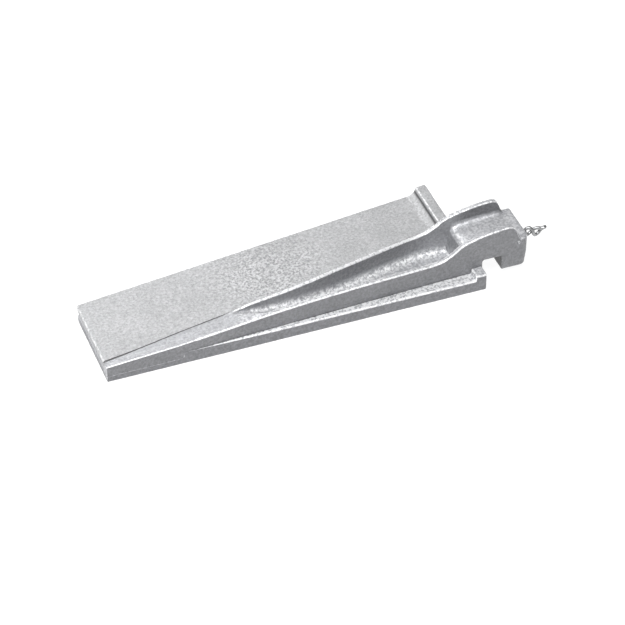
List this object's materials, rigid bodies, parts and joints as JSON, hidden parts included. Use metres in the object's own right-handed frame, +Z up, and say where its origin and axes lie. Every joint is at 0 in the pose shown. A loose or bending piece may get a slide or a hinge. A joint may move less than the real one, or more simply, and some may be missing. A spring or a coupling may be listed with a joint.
{
  "type": "felling wedge",
  "caption": "Telescopic aluminium felling wedge: flared lower and upper plates spread by a channelled drive wedge with a hooked striking head.",
  "frame": {"origin": "middle of the lower plate's flat underside, 100.8 mm from the thin tip", "axes": "+X from the thin tip towards the struck head, +Y from the ledge side towards the upper plate's free side, +Z up through the plates"},
  "size_m": [0.2408, 0.0647, 0.0301],
  "materials": {
    "cast_lower": "sand cast, tumbled",
    "cast_upper": "sand cast, grainy",
    "cast_drive": "sand cast, edges worn bright",
    "rail_steel": "milled",
    "screw_steel": "zinc plated",
    "pin_steel": "ground",
    "wire_steel": "drawn wire"
  },
  "bodies": {
    "lower": {"base_plate": "cast_lower", "guide_rail": "rail_steel", "rail_screw_1": "screw_steel", "rail_screw_2": "screw_steel", "rail_screw_3": "screw_steel"},
    "drive": {"drive_wedge": "cast_drive", "eye_pin": "pin_steel", "wire_eye": "wire_steel"},
    "upper": {"upper_plate": "cast_upper", "guide_pin_front": "pin_steel", "guide_pin_rear": "pin_steel"}
  },
  "joints": [
    {"name": "drive_slide", "type": "slide", "parent": "lower", "child": "drive", "axis": [0.999, 0.0446, 0], "range_m": [0, 0.05]},
    {"name": "upper_lift", "type": "slide", "parent": "lower", "child": "upper", "axis": [0, 0, 1], "range_m": [-0.00234, 0]}
  ],
  "couplings": [
    {"joint": "upper_lift", "follows": "drive_slide", "ratio": -0.046554}
  ]
}
